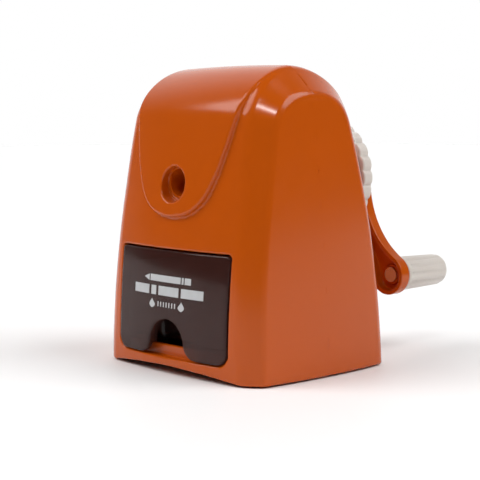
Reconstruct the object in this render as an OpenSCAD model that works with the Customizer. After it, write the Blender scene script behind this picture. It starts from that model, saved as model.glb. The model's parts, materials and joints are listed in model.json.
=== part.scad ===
// Desk pencil sharpener with a hand crank: two moulded shells, a see-through
// shavings drawer, and a cutter insert held by a twist collar at the back.
// Z is up, the pencil goes in along +Y, the base rests on Z = 0.

/* [Body] */
// Height of the body, base to crest
body_h = 100; // [96:0.5:104]
// Half width of the body at the base
half_w = 39.53; // [38.5:0.1:41]
// Front face distance from the origin at the base
front_d = 32.64; // [32:0.1:34]
// Rear face distance from the origin at the base
rear_d = 37.84; // [37:0.1:39]
// Width of the flat band between the faces, measured on each face
band_leg = 7.7; // [7:0.1:8.5]
// Wall thickness of the shells
wall = 2.2; // [1.8:0.1:2.4]

/* [Pencil] */
// Pencil hole diameter
pencil_d = 9; // [8.4:0.1:9.4]
// Diameter of the round recess at the pencil hole
recess_d = 12; // [11.9:0.1:12.6]
// Half of the angle of the sharpened point
point_half_angle = 11; // [10.5:0.5:11.5]
// Height of the main axis above the table
axis_z = 62.1; // [61.5:0.1:62.7]

/* [Drawer] */
// Half width of the drawer front
drawer_hw = 26.8; // [26.2:0.1:27.4]
// Bottom of the drawer front
drawer_z0 = 5.8; // [5.6:0.1:6.4]
// Top of the drawer front
drawer_z1 = 40.3; // [38:0.1:41]
// Depth of the drawer tray
drawer_depth = 50; // [44:0.5:52]

/* [Cutter] */
// Radius of the milling cutter
cutter_r = 5.5; // [5.3:0.1:5.6]
// Flutes on the milling cutter
flutes = 11; // [8:1:13]
// Gear module
gear_m = 0.8; // [0.8]
// Teeth on the cutter pinion
pinion_teeth = 12; // [12]
// Teeth inside the ring gear
ring_teeth = 22; // [22]

/* [Crank] */
// Crank radius, main axis to grip axis
crank_r = 41.9; // [40.5:0.1:42.9]
// Rest angle of the crank below the horizontal
crank_rest = 54.5; // [54.5]
// Diameter of the grip at its root
grip_d = 12; // [11:0.1:13]
// Number of scallops round the collar
scallops = 24; // [18:1:30]

/* [Hidden] */
$fn = 64;
e = 0.01;
H = body_h;
foot_h = 0.6;               // the shells' rim stands this high on the pad
ORANGE = [0.83, 0.36, 0.10];
WHITE = [0.86, 0.84, 0.82];
STEEL = [0.72, 0.72, 0.74];

// ---- outer form -----------------------------------------------------------
// faces lean in towards the top, slowly at first
function aw(z) = half_w - 0.02972*z - 0.00025*z*z;
function bf(z) = front_d + 0.00907*z - 0.001405*z*z;
function rr(z) = rear_d - 0.02595*z - 0.001719*z*z;
zs = H - 17;                // where the arch over the top starts
// arch: from the leaning wall to the crest, a power curve tangent to both
function bez(p0, p1, p2, p3, t) = (1-t)^3*p0 + 3*(1-t)^2*t*p1 + 3*(1-t)*t*t*p2 + t^3*p3;
function bezd(p0, p1, p2, p3, t) = 3*(1-t)^2*(p1-p0) + 6*(1-t)*t*(p2-p1) + 3*t*t*(p3-p2);
yc = -0.5;                  // crest
Hc = H + 0.11;              // the crest itself is a narrow flat, this much lower
sf = (0.00907 - 2*0.001405*zs);   // slope of the front wall at the arch
sr = (-0.02595 - 2*0.001719*zs);
F0 = [-bf(zs), zs];  F1 = F0 + 6.5*[-sf, 1];  F2 = [yc - 13, Hc];  F3 = [yc, Hc];
R0 = [rr(zs), zs];   R1 = R0 + 12.5*[sr, 1];   R2 = [yc + 8, Hc];  R3 = [yc, Hc];
n_wall = 16;
n_arch = 12;
t_end = 0.93;
// profile points (y, z) from the rim to nearly the crest, and unit inward normals
function pf(i, z0) = i <= n_wall
    ? let (z = z0 + (zs - z0)*i/n_wall) [-bf(z), z]
    : bez(F0, F1, F2, F3, t_end*(i - n_wall)/n_arch);
function pr(i, z0) = i <= n_wall
    ? let (z = z0 + (zs - z0)*i/n_wall) [rr(z), z]
    : bez(R0, R1, R2, R3, t_end*(i - n_wall)/n_arch);
function unit(v) = v/norm(v);
function nf(i, z0) = let (d = i <= n_wall
    ? let (z = z0 + (zs - z0)*i/n_wall) [0.00907*-1 + 2*0.001405*z, 1]
    : bezd(F0, F1, F2, F3, t_end*(i - n_wall)/n_arch), u = unit(d)) [u[1], -u[0]];
function nr(i, z0) = let (d = i <= n_wall
    ? let (z = z0 + (zs - z0)*i/n_wall) [-0.02595 - 2*0.001719*z, 1]
    : bezd(R0, R1, R2, R3, t_end*(i - n_wall)/n_arch), u = unit(d)) [-u[1], u[0]];
function crown_k(z) = z < 60 ? 1 : max(0.3, 1 - (z - 60)/57);
function lift(z) = z < 86 ? 1 : z > 98.5 ? 0 : 1 - (z - 86)/12.5;

// the band widens over the crest
function cw(z) = band_leg + (z > 90 ? 0.018*(z - 90)*(z - 90) : 0);
nx = 5;                     // half-face divisions
ns = 7;                     // side-face divisions
// one closed loop of the skin, inset by d, front raised by up
function loop(i, z0, d, up) =
  let (P = pf(i, z0), Q = pr(i, z0), n = nf(i, z0), m = nr(i, z0),
       zf = P[1], zr = Q[1], cf = cw(zf), cr = cw(zr),
       af = aw(min(zf, 88)) , ar = aw(min(zr, 88)),
       xf = af - cf, xr = ar - cr,
       Fi = P + n*cf, Ri = Q + m*cr,
       half = concat(
         [for (j = [0:nx]) let (x = xf*j/nx, q = d + 2.32*crown_k(zf)*(x/28)^2 - up*lift(zf))
            let (s = P + n*q) [x - (j == nx ? d*0.42 : 0), s[0], s[1]]],
         [for (j = [0:ns]) let (t = j/ns, y = Fi[0] + (Ri[0] - Fi[0])*t,
             z = Fi[1] + (Ri[1] - Fi[1])*t,
             yy = y + (j == 0 ? n[0]*d*0.42 : j == ns ? m[0]*d*0.42 : 0),
             zz = z + (j == 0 ? n[1]*d*0.42 : j == ns ? m[1]*d*0.42 : 0))
            [aw(min(z, 88)) - 1.73*(y/28)^2 - d, yy, zz]],
         [for (j = [nx:-1:0]) let (x = xr*j/nx, q = d + 1.16*crown_k(zr)*(x/28)^2)
            let (s = Q + m*q) [x - (j == nx ? d*0.42 : 0), s[0], s[1]]]))
  concat(half, [for (k = [len(half) - 2:-1:1]) [-half[k][0], half[k][1], half[k][2]]]);
NL = 2*(2*nx + ns + 3) - 2; // points in a loop
NH = NL/2;                  // index of the rear centre
module skin(z0, d, up) {
  rows = n_wall + n_arch;
  loops = [for (i = [0:rows]) loop(i, z0, d, up)];
  pts = [for (l = loops) for (p = l) p];
  walls = [for (i = [0:rows - 1]) for (j = [0:NL - 1])
    let (a = i*NL + j, b = i*NL + (j + 1)%NL) [a, b, b + NL, a + NL]];
  tri = [for (q = walls) each [[q[0], q[1], q[2]], [q[0], q[2], q[3]]]];
  // base and crest caps: strips between the front half and the rear half
  cap = [for (j = [0:NL - 1]) j];
  strip = [for (j = [0:NH/2 - 1]) each [
      [j, j + 1, NH - j - 1], [j, NH - j - 1, NH - j]]];
  stripl = [for (j = [0:NH/2 - 1]) let (a = (NL - j)%NL, b = NL - j - 1,
      c = NH + j + 1, f = NH + j) each [[a, f, c], [a, c, b]]];
  top = rows*NL;
  polyhedron(points = pts, faces = concat(
    [for (t = tri) [t[0], t[2], t[1]]],
    [for (t = concat(strip, stripl)) t],
    [for (t = concat(strip, stripl)) [top + t[0], top + t[2], top + t[1]]]),
    convexity = 6);
}

// ---- helpers --------------------------------------------------------------
// extrude a shape drawn in X, Z along Y, from y0 to y1
module yext(y0, y1) translate([0, y1, 0]) rotate([90, 0, 0]) linear_extrude(y1 - y0) children();
// cylinder along Y
module ycyl(y0, y1, r, x = 0, z = axis_z) translate([x, y1, z]) rotate([90, 0, 0]) cylinder(h = y1 - y0, r = r);
module zcyl(z0, z1, r, x = 0, y = 0) translate([x, y, z0]) cylinder(h = z1 - z0, r = r);
// tube sector about the main axis: radii r0..r1, from y0 to y1, angles a0..a1 in X, Z
module ysector(y0, y1, r0, r1, a0, a1) translate([0, y1, axis_z]) rotate([90, 0, 0])
  rotate([0, 0, a0]) rotate_extrude(angle = a1 - a0) translate([r0, 0]) square([r1 - r0, y1 - y0]);
// rounded rectangle with its own radius at the bottom and at the top
module rrect(hw, z0, z1, rb, rt) {
  translate([-hw, z0 + rb]) square([2*hw, z1 - z0 - rb - rt]);
  translate([-hw + rb, z0]) square([2*(hw - rb), rb + 1]);
  translate([-hw + rt, z1 - rt - 1]) square([2*(hw - rt), rt + 1]);
  for (s = [-1, 1]) {
    translate([s*(hw - rb), z0 + rb]) circle(rb);
    translate([s*(hw - rt), z1 - rt]) circle(rt);
  }
}
// the split line leans back slightly; side -1 keeps the front, 1 the rear
seam_y = 2.85;
seam_lean = atan(0.045);
module half(side) translate([0, seam_y, 0]) rotate([seam_lean, 0, 0])
  translate([-60, side < 0 ? -80 : 0.1, -20]) cube([120, 80, 150]);

// ---- tongue ---------------------------------------------------------------
// outline of the raised panel: round end below the pencil hole, flared to the top
tongue = [[0, 51], [3.6, 51.2], [6.7, 51.8], [9.4, 52.8], [11.5, 54.1], [13.4, 55.6], [14.9, 57.2],
  [16.5, 59.5], [17.7, 62], [19.1, 65], [20.2, 68], [21.1, 71], [22, 74], [22.9, 77.5], [23.8, 81],
  [24.7, 84.5], [25.3, 88], [25.7, 91], [26, 94], [26.3, 97], [26.5, 100], [26.5, 104]];
module tongue_outline() polygon(concat(tongue, [for (i = [len(tongue) - 1:-1:1]) [-tongue[i][0], tongue[i][1]]]));
tongue_up = 1.7;            // how far the tongue stands above the front face

// ---- screw places ---------------------------------------------------------
top_screws = [[-26.5, 76.5], [26.5, 76.5]];
low_screws = [[-31.6, 15.5], [31.6, 15.5]];
post_xy = [[-31.4, -19.5], [31.4, -19.5], [-31.4, 27], [31.4, 27]];
boss_r = 19;
bore_r = 16.7;
open_hw = drawer_hw + 0.35;
open_z0 = drawer_z0 - 0.35;
open_z1 = drawer_z1 + 0.35;

module rim_cut() {
  translate([-60, -60, -30]) cube([120, 120, 30 + foot_h]);
  // the front rim is arched, the sides stand straight
  R = (31.6*31.6 + 2.2*2.2)/(2*2.2);
  intersection() {
    translate([0, 0, foot_h + 2.2 - R]) rotate([90, 0, 0]) cylinder(h = 60, r = R, $fn = 96);
    translate([-31.6, -60, -10]) cube([63.2, 32, 20]);
  }
}
module inner() skin(-6, wall, 0);

module front_casing() color(ORANGE) union() {
  // lip behind the drawer front, under the tray
  translate([-24, -28.6, 5]) cube([48, 1.8, 3.8]);
  front_shell();
}
module front_shell() difference() {
  union() {
    intersection() {
      union() {
        difference() {
          union() {
            skin(-6, 0, 0);
            intersection() { skin(-6, 0, tongue_up); yext(-60, -6) tongue_outline(); }
          }
          inner();
        }
        // everything moulded inside the front shell
        intersection() {
          skin(-6, wall/2, 0);
          union() {
            ycyl(-27, -19.5, 10.4);                     // seat of the pencil guide
            for (p = top_screws) ycyl(-30, 30, 3.4, p[0], p[1]);
            for (p = low_screws) ycyl(-40, 30, 3.4, p[0], p[1]);
            translate([-36, -40, 3.3]) cube([72, 21, 1.9]);   // sill behind the rim
            for (s = [-1, 1]) {
              translate([s*31.4 - 3.4, -22.9, 4.7]) cube([6.8, 6.8, 9]);
              translate([s > 0 ? 31.4 : -37.4, -21, 4.7]) cube([6, 3, 9]);
              translate([s*29.2 - 0.8, -40, 5]) cube([1.6, 36, 34]);   // drawer side guides
              translate([s > 0 ? 29 : -37, -14, 30]) cube([8, 2, 8]);
              translate([s > 0 ? 29 : -37, -30, 24]) cube([8, 2, 14]);
            }
          }
        }
      }
      half(-1);
    }
  }
  rim_cut();
  // drawer opening
  yext(-60, -22) rrect(open_hw, open_z0, open_z1, 4.4, 1.5);
  // pencil recess and the seat of the guide
  ycyl(-60, -26.5, recess_d/2, 0, axis_z - 0.6);
  ycyl(-60, -10, 5.15);
  ycyl(-24, -10, 8.7);
  for (p = top_screws) ycyl(-20, 30, 1.52, p[0], p[1]);
  for (p = low_screws) ycyl(-19, 30, 1.52, p[0], p[1]);
  for (p = post_xy) zcyl(2, 12, 1.46, p[0], p[1]);
  // room for the base plate
  translate([0, 0, 2.5]) linear_extrude(2.2) plate_outline(0.15);
}

module rear_casing() color(ORANGE) difference() {
  union() {
    intersection() {
      union() {
        difference() { skin(-6, 0, 0); inner(); }
        intersection() {
          skin(-6, wall/2, 0);
          union() {
            for (p = top_screws) ycyl(-20, 40, 3.4, p[0], p[1]);
            for (p = low_screws) ycyl(-20, 45, 3.4, p[0], p[1]);
            for (s = [-1, 1]) {
              translate([s*31.4 - 3.4, 23.6, 4.7]) cube([6.8, 6.8, 9]);
              translate([s > 0 ? 31.4 : -37.4, 25.5, 4.7]) cube([6, 3, 9]);
            }
          }
        }
      }
      half(1);
    }
    ycyl(20.8, 39.2, boss_r);
  }
  rim_cut();
  ycyl(0, 60, bore_r);
  for (p = top_screws) { ycyl(-20, 40, 1.7, p[0], p[1]); ycyl(14, 60, 3, p[0], p[1]); }
  for (p = low_screws) { ycyl(-20, 60, 1.7, p[0], p[1]); ycyl(22, 60, 3, p[0], p[1]); }
  for (p = post_xy) zcyl(2, 12, 1.46, p[0], p[1]);
  translate([0, 0, 2.5]) linear_extrude(2.2) plate_outline(0.15);
  // keyways for the ring gear and the bayonet tracks for the collar
  for (a = [0, 180]) ysector(22.4, 60, bore_r - 1, 17.9, a - 9, a + 9);
  for (a = [0, 180]) ysector(30.4, 34.2, bore_r - 1, 17.9, a - 9, a + 52);
}

// ---- base -----------------------------------------------------------------
module plate_outline(g = 0) {
  x = 35.9 + g; y0 = -27.6 - g; y1 = 33.9 + g; k = 7.6;
  polygon([[-x + k, y0], [x - k, y0], [x, y0 + k], [x, y1 - k], [x - k, y1], [-x + k, y1], [-x, y1 - k], [-x, y0 + k]]);
}
module base_plate() color([0.22, 0.20, 0.20]) difference() {
  union() {
    translate([0, 0, 2.6]) linear_extrude(2) difference() {
      plate_outline();
      for (p = post_xy) translate(p) circle(1.6);
    }
    for (s = [-1, 1]) translate([s*18 - 1.5, -18, 4.5]) cube([3, 48, 4.5]);   // runners
    translate([-12, 20.5, 4.5]) cube([24, 2, 8.5]);                          // drawer stop
  }
  for (p = post_xy) zcyl(1, 3.4, 2.9, p[0], p[1]);
}
// one sheet of rubber under the base plate, with a tread of closed grooves
module rubber_pad() color([0.09, 0.09, 0.09]) difference() {
  union() {
    translate([0, 0, 0.4]) linear_extrude(2.2) pad_outline(0);
    linear_extrude(0.5) pad_outline(0.5);
  }
  for (x = [-21:6:21]) translate([x - 0.5, -17, -1]) cube([1, 40, 1.6]);
}
module pad_outline(g) {
  x = 27 - g; y0 = -22 + g; y1 = 28 - g; k = 6;
  polygon([[-x + k, y0], [x - k, y0], [x, y0 + k], [x, y1 - k], [x - k, y1], [-x + k, y1], [-x, y1 - k], [-x, y0 + k]]);
}

module screw(l, r, hr, hh) {          // head up at z = 0, shank down
  difference() {
    union() { translate([0, 0, 0]) cylinder(h = hh, r = hr); translate([0, 0, -l]) cylinder(h = l + e, r = r);
      translate([0, 0, -l - 1]) cylinder(h = 1 + e, r1 = 0.5, r2 = r); }
    for (a = [0, 90]) rotate([0, 0, a]) translate([-hr*0.6, -0.35, hh - 0.9]) cube([hr*1.2, 0.7, 2]);
  }
}
module casing_screws() color(STEEL) {
  for (p = top_screws) translate([p[0], 14, p[1]]) rotate([-90, 0, 0]) screw(26, 1.5, 2.8, 1.8);
  for (p = low_screws) translate([p[0], 22, p[1]]) rotate([-90, 0, 0]) screw(38, 1.5, 2.8, 1.8);
}
module base_screws() color(STEEL) for (p = post_xy) translate([p[0], p[1], 3.4]) rotate([180, 0, 0]) screw(6.4, 1.44, 2.7, 1.6);

// ---- pencil guide ---------------------------------------------------------
tail_r = 5.75;
module pencil_guide() color(ORANGE) difference() {
  union() { ycyl(-26.5, -24, 5.1); ycyl(-24, -22.4, 8.6); ycyl(-22.4, -7.2, tail_r); }
  ycyl(-30, 0, pencil_d/2);
}
module guide_retainer() color(STEEL) difference() {
  ycyl(-22.3, -21.3, 8.6);
  ycyl(-23, -20, tail_r + 0.1);
  for (a = [45:90:315]) translate([0, 0, axis_z]) rotate([0, a, 0]) translate([0, -21.8, 7.9]) cube([2.2, 3, 2.4], center = true);
}

// ---- drawer ---------------------------------------------------------------
module bell(g = 0) {
  translate([0, 9.6]) circle(8.6 + g);
  difference() {
    translate([-14 - g, 3]) square([28 + 2*g, 8.7]);
    for (s = [-1, 1]) translate([s*14, 11.7]) circle(5.8 - g);
  }
}
tray_hw = 25.6;
tray_z0 = 9.2;               // the tray rides above the lip
tray_y1 = -31 + drawer_depth;
module shavings_drawer() color([0.36, 0.27, 0.25, 0.72]) difference() {
  union() {
    intersection() {
      difference() { skin(-6, -0.4, 0); skin(-6, 1.6, 0); }
      yext(-50, -20) rrect(drawer_hw, drawer_z0, drawer_z1, 4.2, 1.3);
    }
    intersection() {
      skin(-6, 1, 0);
      difference() {
        yext(-33, tray_y1) rrect(tray_hw, tray_z0, drawer_z0 + 29, 2.4, 0.5);
        yext(-27.3, tray_y1 - 1.5) rrect(tray_hw - 1.5, tray_z0 + 1.5, drawer_z0 + 40, 0.9, 0.5);
      }
    }
    translate([-15.6, -31.2, tray_z0]) cube([31.2, 11.2, drawer_z0 + 15 - tray_z0]);
  }
  // finger pocket behind the bell-shaped notch
  yext(-50, -27) bell();
  translate([-14.2, -29.3, drawer_z0 - 1]) cube([28.4, 7.9, 14.6]);
  // hollow front, so that the panel has an even wall
  difference() {
    yext(-30, -25) rrect(tray_hw - 1.5, tray_z0 + 1.5, drawer_z0 + 40, 0.9, 0.5);
    difference() { skin(-6, -3, 0); skin(-6, 1.6, 0); }
    translate([-15.6, -31, drawer_z0 - 1]) cube([31.2, 12, 16]);
  }
}
module drawer_spring() color(STEEL) {
  translate([27.4, -2, 4.6]) cube([5.4, 9, 0.4]);
  translate([27.4, -2, 4.6]) cube([0.4, 9, 8]);
  translate([27.4, 6, 7]) cube([0.4, 14, 5.6]);
  intersection() {
    translate([28.4, 13, 7]) cylinder(h = 5.6, r = 2.5);
    translate([25.9, 9, 7]) cube([1.6, 9, 5.6]);
  }
}

// ---- cutter insert --------------------------------------------------------
ta = point_half_angle;
apex_y = 16.3;              // where the sharpened point ends
gear_d = gear_m*(ring_teeth - pinion_teeth)/2;
y_mid = 5.5;
rho_mid = cutter_r/cos(ta) + (apex_y - y_mid)*tan(ta);
gear_s = (apex_y + (cutter_r/cos(ta) - gear_d)/tan(ta) - y_mid)/cos(ta);
// local frame of the cutter: z' along its axis to the rear, x' along X
module on_cutter() translate([0, y_mid, axis_z + rho_mid]) rotate([-90 - ta, 0, 0]) children();

function inv(a) = tan(a)*180/PI - a;
// involute tooth of z teeth: half angle of the tooth at radius r, in degrees
function half_t(z, r, rb, less) = let (rp = gear_m*z/2, al = acos(min(1, rb/max(r, rb))))
  90/z - less/rp*90/PI + inv(20) - inv(al);
function gear_pts(z, r0, r1, less) = let (rb = gear_m*z/2*cos(20), n = 5)
  [for (k = [0:z - 1]) let (a = 360*k/z) each concat(
    [for (i = [0:n]) let (r = r0 + (r1 - r0)*i/n, h = half_t(z, r, rb, less)) r*[cos(a - h), sin(a - h)]],
    [for (i = [n:-1:0]) let (r = r0 + (r1 - r0)*i/n, h = half_t(z, r, rb, less)) r*[cos(a + h), sin(a + h)]])];

module milling_cutter() color([0.66, 0.66, 0.69]) on_cutter() difference() {
  union() {
    translate([0, 0, -9.4]) linear_extrude(height = 19, twist = -75, slices = 22)
      polygon([for (k = [0:flutes - 1]) each [for (q = [[0, 1], [0.16, 0.985], [0.34, 0.86], [0.56, 0.78], [0.82, 0.82]])
        let (a = 360*(k + q[0])/flutes) cutter_r*q[1]*[cos(a), sin(a)]]]);
    translate([0, 0, -10.2]) cylinder(h = 1, r = 3.4);
    translate([0, 0, 9.4]) cylinder(h = 1, r = 3.4);
  }
  translate([0, 0, -20]) cylinder(h = 40, r = 1.55);
}
module cutter_axle() color(STEEL) on_cutter() {
  translate([0, 0, -15.6]) cylinder(h = gear_s + 1.3 + 15.6, r = 1.5);
}
module cutter_pinion() color([0.78, 0.76, 0.60]) on_cutter() difference() {
  union() {
    translate([0, 0, gear_s - 1.1]) linear_extrude(2.2) rotate([0, 0, 90])
      polygon(gear_pts(pinion_teeth, gear_m*(pinion_teeth/2 - 1.1), gear_m*(pinion_teeth/2 + 0.75), 0.14));
    translate([0, 0, gear_s - 2.2]) cylinder(h = 1.2, r = 2.7);
  }
  translate([0, 0, 0]) cylinder(h = 40, r = 1.55);
}
module axle_washers() color([0.8, 0.8, 0.82]) on_cutter() for (z = [-10.9, 10.6]) translate([0, 0, z])
  difference() { cylinder(h = 0.6, r = 3.1); translate([0, 0, -1]) cylinder(h = 3, r = 1.56); }

module ring_gear() color([0.85, 0.83, 0.80]) difference() {
  union() {
    ycyl(22.6, 26.6, bore_r - 0.15);
    for (a = [0, 180]) ysector(22.6, 26.6, bore_r - 1.5, 17.7, a - 8, a + 8);
  }
  yext(20, 30) translate([0, axis_z]) rotate([0, 0, 90])
    polygon(gear_pts(ring_teeth, gear_m*(ring_teeth/2 - 0.6), gear_m*(ring_teeth/2 + 1.1), -0.14));
  ycyl(20, 30, gear_m*(ring_teeth/2 - 0.6) + 0.02);
}

skirt_r = bore_r - 0.05;
module locking_collar() color(WHITE) difference() {
  union() {
    difference() {
      ycyl(39.5, 44, 20.8);
      for (i = [0:scallops - 1]) let (a = 360*(i + 0.5)/scallops)
        ycyl(38, 46, 1.5, 21.8*cos(a), axis_z + 21.8*sin(a));
    }
    ycyl(26.9, 39.6, skirt_r);
    for (a = [0, 180]) ysector(30.7, 33.9, skirt_r - 1.5, 17.7, a - 8, a + 8);
  }
  ycyl(26, 40.5, 14.6);
  ycyl(20, 50, 7.95);
  // shallow dish in the face
  difference() { ycyl(43.2, 46, 16.5); ycyl(43, 46, 10); }
}

module cutter_carrier() color([0.25, 0.24, 0.25]) difference() {
  union() {
    ycyl(-12, -7, 8);
    ycyl(-9.6, -7, 15.8);
    ycyl(18.3, 20.8, 15.8);
    for (a = [0, 180, 270]) ysector(-7.3, 18.6, 13.2, 15.3, a - 21, a + 21);
    // pillar past the pinion, through the ring gear
    intersection() { ycyl(20.5, 28.2, 7.7); translate([-10, 20, axis_z - 10]) cube([20, 10, 7.4]); }
    ycyl(27.9, 44.4, 7.9);
    ycyl(30.5, 32.5, 13.8);
  }
  ycyl(-20, -3, tail_r + 0.05);
  ycyl(18, 21.5, 2);
  on_cutter() translate([0, 0, -30]) cylinder(h = 30, r = 1.56);
  on_cutter() translate([0, 0, 5]) cylinder(h = 13.6, r = 1.56);
  ycyl(29.5, 60, 3.02);
}
module drive_spindle() color(STEEL) difference() {
  union() { ycyl(29.6, 44.6, 3); intersection() { ycyl(44, 50.8, 3); translate([-2.4, 44, axis_z - 2.4]) cube([4.8, 6.8, 4.8]); } }
  ycyl(42, 60, 1.52);
}
module thrust_washer() color([0.75, 0.75, 0.77]) difference() { ycyl(44.5, 45.5, 7.6); ycyl(40, 50, 3.1); }

// ---- crank ----------------------------------------------------------------
kx = crank_r*cos(crank_rest);
kz = axis_z - crank_r*sin(crank_rest);
hub_R = 13;
end_R = 7;
waist = 4;
// radius and place of the waist arcs, tangent to the hub disc and to the end disc
// found by bisection on the arc radius
function s1(R) = sqrt(hub_R*hub_R - waist*waist + 2*R*(hub_R - waist));
function s2(R) = sqrt(end_R*end_R - waist*waist + 2*R*(end_R - waist));
function solve(lo, hi, n) = n == 0 ? (lo + hi)/2
  : let (m = (lo + hi)/2) s1(m) + s2(m) > crank_r ? solve(lo, m, n - 1) : solve(m, hi, n - 1);
wR = solve(10, 80, 40);
ws = s1(wR);
wD = waist + wR;
function arc(c, r, a0, a1, n) = [for (i = [0:n]) let (a = a0 + (a1 - a0)*i/n) c + r*[cos(a), sin(a)]];
// outline in the arm's own plane: x along the arm; g shrinks it
function arm_half(g) = let (
    A = atan2(wD, ws),                  // towards the waist arc's centre, from the hub
    B = atan2(wD, ws - crank_r))        // and from the end disc
  concat(arc([0, 0], hub_R - g, 180, A, 22), arc([ws, wD], wR + g, 180 + A, 180 + B, 26), arc([crank_r, 0], end_R - g, B, 0, 22));
module arm_outline(g) let (h = arm_half(g), n = len(h)) polygon(concat(h, [for (i = [n - 2:-1:1]) [h[i][0], -h[i][1]]]));
module arm_at(y0, y1) translate([0, y1, axis_z]) rotate([90, 0, 0]) linear_extrude(y1 - y0) rotate([0, 0, -crank_rest]) children();
module crank_arm() color(ORANGE) difference() {
  union() {
    difference() {
      arm_at(47.5, 52.2) arm_outline(0);
      arm_at(47, 50.9) arm_outline(1.5);
    }
    ycyl(45.8, 51.5, 6.6);
    ycyl(50.2, 51.5, 3.6, kx, kz);
  }
  translate([-2.5, 44, axis_z - 2.5]) cube([5, 7, 5]);
  ycyl(40, 60, 1.62);
  ycyl(52.2 - 0.9, 60, 3.3);
  ycyl(40, 60, 2.02, kx, kz);
}
module crank_screw() color(STEEL) translate([0, 51.3, axis_z]) rotate([-90, 0, 0]) screw(8, 1.5, 3.1, 1.8);
module handle_pin() color(STEEL) {
  ycyl(49.5, 50.15, 2.6, kx, kz);
  ycyl(50.1, 70.3, 2, kx, kz);
  ycyl(69.8, 71.3, 2.5, kx, kz);
}
module handle_washer() color(STEEL) difference() { ycyl(52.3, 52.8, 4.6, kx, kz); ycyl(50, 54, 2.04, kx, kz); }
module handle_knob() color(WHITE) difference() {
  translate([kx, 53.1, kz]) rotate([-90, 0, 0]) rotate_extrude() polygon(concat(
    [[0, 0], [grip_d/2 - 0.5, 0], [grip_d/2, 0.5]],
    [for (i = [1:8]) [grip_d/2 - 0.5*i/8, 0.5 + 19.3*i/8]],
    [for (i = [1:8]) let (a = 90*i/8) [grip_d/2 - 3.9 + 3.4*cos(a), 19.8 + 3.4*sin(a)]],
    [[0, 23.2]]));
  for (i = [0:11]) let (a = 30*i) ycyl(54.6, 90, 0.9, kx + (grip_d/2 + 0.2)*cos(a), kz + (grip_d/2 + 0.2)*sin(a));
  ycyl(50, 72.3, 2.06, kx, kz);
  ycyl(68.9, 72.3, 2.8, kx, kz);
}

front_casing();
rear_casing();
base_plate();
rubber_pad();
casing_screws();
base_screws();
pencil_guide();
guide_retainer();
shavings_drawer();
drawer_spring();
ring_gear();
locking_collar();
cutter_carrier();
milling_cutter();
cutter_axle();
cutter_pinion();
axle_washers();
drive_spindle();
thrust_washer();
crank_arm();
crank_screw();
handle_pin();
handle_knob();
handle_washer();
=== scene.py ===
import bpy, bmesh, math, json
import numpy as np
from mathutils import Vector, Matrix


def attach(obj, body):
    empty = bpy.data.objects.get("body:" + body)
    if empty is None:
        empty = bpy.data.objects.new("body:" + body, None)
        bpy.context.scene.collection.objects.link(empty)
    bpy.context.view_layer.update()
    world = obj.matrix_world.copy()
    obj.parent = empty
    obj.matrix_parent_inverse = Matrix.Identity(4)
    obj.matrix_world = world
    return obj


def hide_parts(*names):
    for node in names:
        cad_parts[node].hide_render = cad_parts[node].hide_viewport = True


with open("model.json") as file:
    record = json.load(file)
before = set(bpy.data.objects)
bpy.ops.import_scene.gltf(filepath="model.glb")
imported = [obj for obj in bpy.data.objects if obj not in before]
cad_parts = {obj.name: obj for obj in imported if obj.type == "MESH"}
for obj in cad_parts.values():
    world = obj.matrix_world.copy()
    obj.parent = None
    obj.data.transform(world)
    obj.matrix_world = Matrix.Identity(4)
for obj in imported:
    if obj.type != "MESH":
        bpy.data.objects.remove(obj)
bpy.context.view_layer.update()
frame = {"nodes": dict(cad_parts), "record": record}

pi = math.pi
sqrt, absol = np.sqrt, np.abs

# ---------------------------------------------------------------- dimensions
# millimetres here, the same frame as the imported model
H, C, WALL, ZAX = 100.0, 7.7, 2.2, 62.1
FOOT = 0.6
ZS, YC = 83.0, -0.5


def aw(z):
    return 39.53 - 0.02972 * z - 0.00025 * z * z


def bf(z):
    return 32.64 + 0.00907 * z - 0.001405 * z * z


def rr(z):
    return 37.84 - 0.02595 * z - 0.001719 * z * z


# ---------------------------------------------------------------- field tools
def rmax(a, b, r):
    """intersection of two fields, its edge rounded to r"""
    return np.minimum(-r, np.maximum(a, b)) + sqrt(np.maximum(a + r, 0) ** 2 + np.maximum(b + r, 0) ** 2)


def rmin(a, b, r):
    """union of two fields, its inner corner filled to r"""
    return np.maximum(r, np.minimum(a, b)) - sqrt(np.maximum(r - a, 0) ** 2 + np.maximum(r - b, 0) ** 2)


def smin(a, b, k):
    h = np.maximum(k - absol(a - b), 0) / k
    return np.minimum(a, b) - h * h * k * 0.25


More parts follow.
